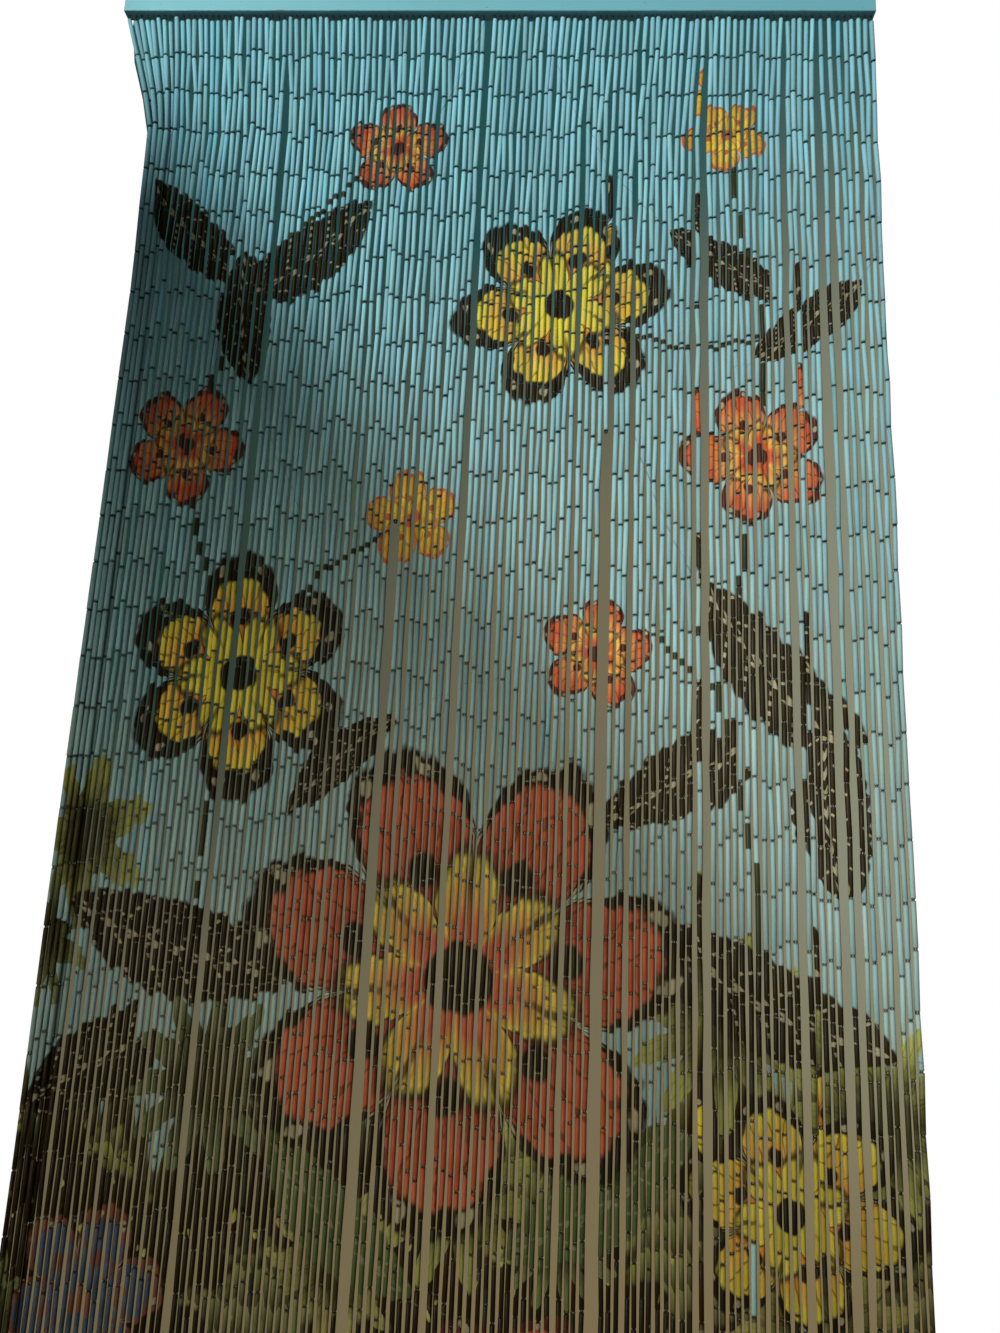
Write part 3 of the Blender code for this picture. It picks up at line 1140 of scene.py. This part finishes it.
def makePaintedWood(p):
    material, tree, shader = startMaterial("paintedWood")
    place = readPlace(tree)
    drawn = workVector("MULTIPLY", place, p["grain"])
    wood = useGroup(tree, brushedWood, Vector=drawn, Streak=p["fine"], Wear=p["wear"])
    broad = noise(workVector("MULTIPLY", place, (3.0, 20.0, 20.0)), 1.0, 3.0)
    x, y, z = split(place)
    colour = mixColour(ramp(x, -0.35, 0.35), p["coat"], p["coatFar"])
    colour = mixColour(times(ramp(broad, 0.35, 0.8), 0.4), colour, p["coatWorn"])
    colour = mixColour(times(wood["Shade"], 0.25), colour, p["coatWorn"])

    # two of the three are near nothing along an edge
    width, depth, height = barHigh - barLow
    toSide = minus(depth / 2, sizeOf(y))
    toTop = minus(height / 2, sizeOf(plus(z, height / 2)))
    toEnd = minus(width / 2, sizeOf(x))
    sideTop, sideEnd = work("MAXIMUM", toSide, toTop), work("MAXIMUM", toSide, toEnd)
    nearEdge = work("MINIMUM", sideTop, work("MINIMUM", sideEnd, work("MAXIMUM", toTop, toEnd)))
    rub = noise(workVector("MULTIPLY", place, (60.0, 300.0, 300.0)), 1.0, 3.0, 0.6)
    reach = times(ramp(rub, 0.48, 0.72), p["edge"])
    worn = ramp(minus(reach, nearEdge), 0.0, 0.0004)
    chips = noise(workVector("MULTIPLY", place, (1.0, 1.6, 1.6)), 210.0, 3.0, 0.6)
    bare = work("MAXIMUM", worn, times(ramp(chips, 0.70, 0.72), 0.9))
    timber = mixColour(wood["Shade"], p["wood"], tuple(p["woodDark"] * part for part in p["wood"]))
    feed(shader.inputs["Base Color"], mixColour(bare, colour, timber))
    gloss = ramp(plus(wood["Shade"], bare), 0.0, 1.6, p["roughness"] - 0.06, p["roughness"] + 0.32)
    feed(shader.inputs["Roughness"], gloss)
    addBump(tree, shader, *p["bump"], minus(wood["Height"], times(bare, 0.6)))
    return material


paintedWood = makePaintedWood(barPaint)
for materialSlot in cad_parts["head_bar"].material_slots:
    materialSlot.material = paintedWood
print("bar painted")


# Studio: a white surround, a lamp high in front and a glowing card painted with the dark room's light and
# shade
studio = {
    "keyPlace": (-3.20, -6.40, 2.00),
    "keyRadius": 0.02,
    "keyWatts": 2060,
    "flagShare": 0.2,  # how far the flag stands from the lamp towards the curtain
    "shadeEdge": ((-0.45, -0.10), (0.50, -1.335)),  # where its shadow's edge crosses the curtain
    "flagPast": (0.6, 0.9),  # share of that edge by which it goes on past its ends
    "flagRoom": (0.6, 1.0),  # how far it reaches to the left and down
    "flagColour": (0.02, 0.02, 0.02),
    "fillPlace": (-0.72, -1.20, -1.10),
    "aim": (0.25, 0.0, -1.15),
    "fillSize": 0.5,
    "fillSpread": math.radians(75),
    "fillWatts": 2.5,
    "fillColour": (1.0, 0.90, 0.78),
    "roomLight": (1.0, 0.93, 0.84),
    "roomStrength": 0.08,
    "cardBehind": 0.0125,
    "cardUp": 0.004,  # how far below the bar's top it starts
    "cardShort": 0.025,  # of the strands' ends
    "cardPast": (0.0088, 0.0062),  # how far it goes past the first and the last strand
    # the card's colours are painted light and shade of the dim room behind the curtain
    "cardTop": (0.019, 0.082, 0.085),
    "cardMiddle": (0.170, 0.150, 0.091),
    "cardSide": (0.262, 0.274, 0.196),  # daylight on the far right
    "cardFoot": (0.198, 0.155, 0.079),
    "cardShade": (0.017, 0.041, 0.033),  # behind the shaded part
    "cardSlant": 0.4,  # the top's colour ends higher towards the right
    # lit share on the left, by height
    "cardLit": ((-0.05, 0.95), (-0.45, 0.00), (-0.85, 0.00), (-1.15, 0.72)),
}


def putOnStage(name, data, material):
    data.materials.append(material)
    piece = putInScene(name, data)
    return piece


def cardOutline(p):
    # follows the first strand's lean, so that the strands hide it
    plan = strandPlan
    shift = plan["hangLeft"] - plan["rootLeft"]
    pastLeft, pastRight = p["cardPast"]
    top = barHigh.z - p["cardUp"]
    corners = [(plan["rootLeft"], top)]
    for drop, share in (*plan["lean"], (rowHigh.z - rowLow.z - p["cardShort"], 1)):
        past = pastLeft * min(1, drop / plan["lean"][1][0])
        corners.append((plan["rootLeft"] + share * shift - past, stripLow - drop))
    right = plan["hangRight"] + pastRight
    return corners + [(right, corners[-1][1]), (right, top)]


def makeRoomCard(p):
    # close behind the strands and hidden by them, it is clear from behind and throws no shadow; it glows with
    # the painted light and shade of a dim room seen through the gaps
    corners = cardOutline(p)
    data = bpy.data.meshes.new("roomCard")
    data.from_pydata([(x, p["cardBehind"], z) for x, z in corners], [], [tuple(range(len(corners)))])
    material, tree, shader = startMaterial("roomCard")
    tree.nodes.remove(shader)
    across, _, height = split(readPlace(tree))
    slanted = minus(height, times(across, p["cardSlant"]))
    colour = mixColour(ramp(slanted, -0.32, -0.72), p["cardTop"], p["cardMiddle"])
    side = times(ramp(across, 0.18, 0.42), ramp(height, -0.02, -0.72))
    colour = mixColour(side, colour, p["cardSide"])
    colour = mixColour(ramp(height, -1.05, -1.40), colour, p["cardFoot"])
    (high, atTop), (dim, atDim), (dimEnd, _), (low, atFoot) = p["cardLit"]
    atLeft = work("MAXIMUM", ramp(height, high, dim, atTop, atDim), ramp(height, dimEnd, low, atDim, atFoot))
    lit = ramp(across, -0.33, 0.12, atLeft, 1.0)
    lit.node.interpolation_type = "SMOOTHSTEP"
    glow = fedNode("ShaderNodeEmission", [mixColour(lit, p["cardShade"], colour)])
    behind = addNode(tree, "ShaderNodeNewGeometry").outputs["Backfacing"]
    clear = addNode(tree, "ShaderNodeBsdfTransparent").outputs[0]
    sides = fedNode("ShaderNodeMixShader", (behind, glow.outputs[0], clear))
    feed(tree.nodes["Material Output"].inputs[0], sides.outputs[0])
    card = putOnStage("roomCard", data, material)
    for ray in ("diffuse", "glossy", "transmission", "shadow"):
        setattr(card, "visible_" + ray, False)


def aimed(place, aim):
    turn = (Vector(aim) - Vector(place)).to_track_quat("-Z", "Y")
    return Matrix.Translation(place) @ turn.to_matrix().to_4x4()


def makeLights(p):
    key = bpy.data.lights.new("keyLight", "POINT")
    key.energy = p["keyWatts"]
    key.shadow_soft_size = p["keyRadius"]
    fill = bpy.data.lights.new("fillLight", "AREA")
    fill.energy = p["fillWatts"]
    fill.size = p["fillSize"]
    fill.spread = p["fillSpread"]
    fill.color = p["fillColour"]
    for light, place in ((key, p["keyPlace"]), (fill, p["fillPlace"])):
        putInScene(light.name, light).matrix_world = aimed(place, p["aim"])


def makeFlag(p):
    # keeps the lamp off the lower left, as the room does in the photograph
    start, end = (Vector((x, 0, z)) for x, z in p["shadeEdge"])
    run = end - start
    before, after = p["flagPast"]
    left, down = p["flagRoom"]
    upper, lower = start - before * run, end + after * run
    far, foot = upper.x - left, lower.z - down
    corners = (upper, lower, Vector((lower.x, 0, foot)), Vector((far, 0, foot)), Vector((far, 0, upper.z)))
    lamp = Vector(p["keyPlace"])
    data = bpy.data.meshes.new("flag")
    data.from_pydata([lamp + p["flagShare"] * (corner - lamp) for corner in corners], [], [tuple(range(5))])
    material, _, shader = startMaterial("blackFlag")
    feed(shader.inputs["Base Color"], (*p["flagColour"], 1))
    flag = putOnStage("flag", data, material)
    flag.visible_camera = False


def makeSurround(p):
    world = bpy.data.worlds.new("surround")
    world.use_nodes = True
    bpy.context.scene.world = world
    tree = world.node_tree
    light = tree.nodes["Background"]
    feed(light.inputs["Color"], (*p["roomLight"], 1))
    feed(light.inputs["Strength"], p["roomStrength"])
    paper = addNode(tree, "ShaderNodeBackground")
    feed(paper.inputs["Color"], (1, 1, 1, 1))
    fromCamera = addNode(tree, "ShaderNodeLightPath").outputs["Is Camera Ray"]
    seen = fedNode("ShaderNodeMixShader", (fromCamera, light.outputs[0], paper.outputs[0]))
    feed(tree.nodes["World Output"].inputs[0], seen.outputs[0])


makeRoomCard(studio)
makeLights(studio)
makeFlag(studio)
makeSurround(studio)
bpy.context.scene.view_settings.view_transform = "Standard"
print("studio lit")
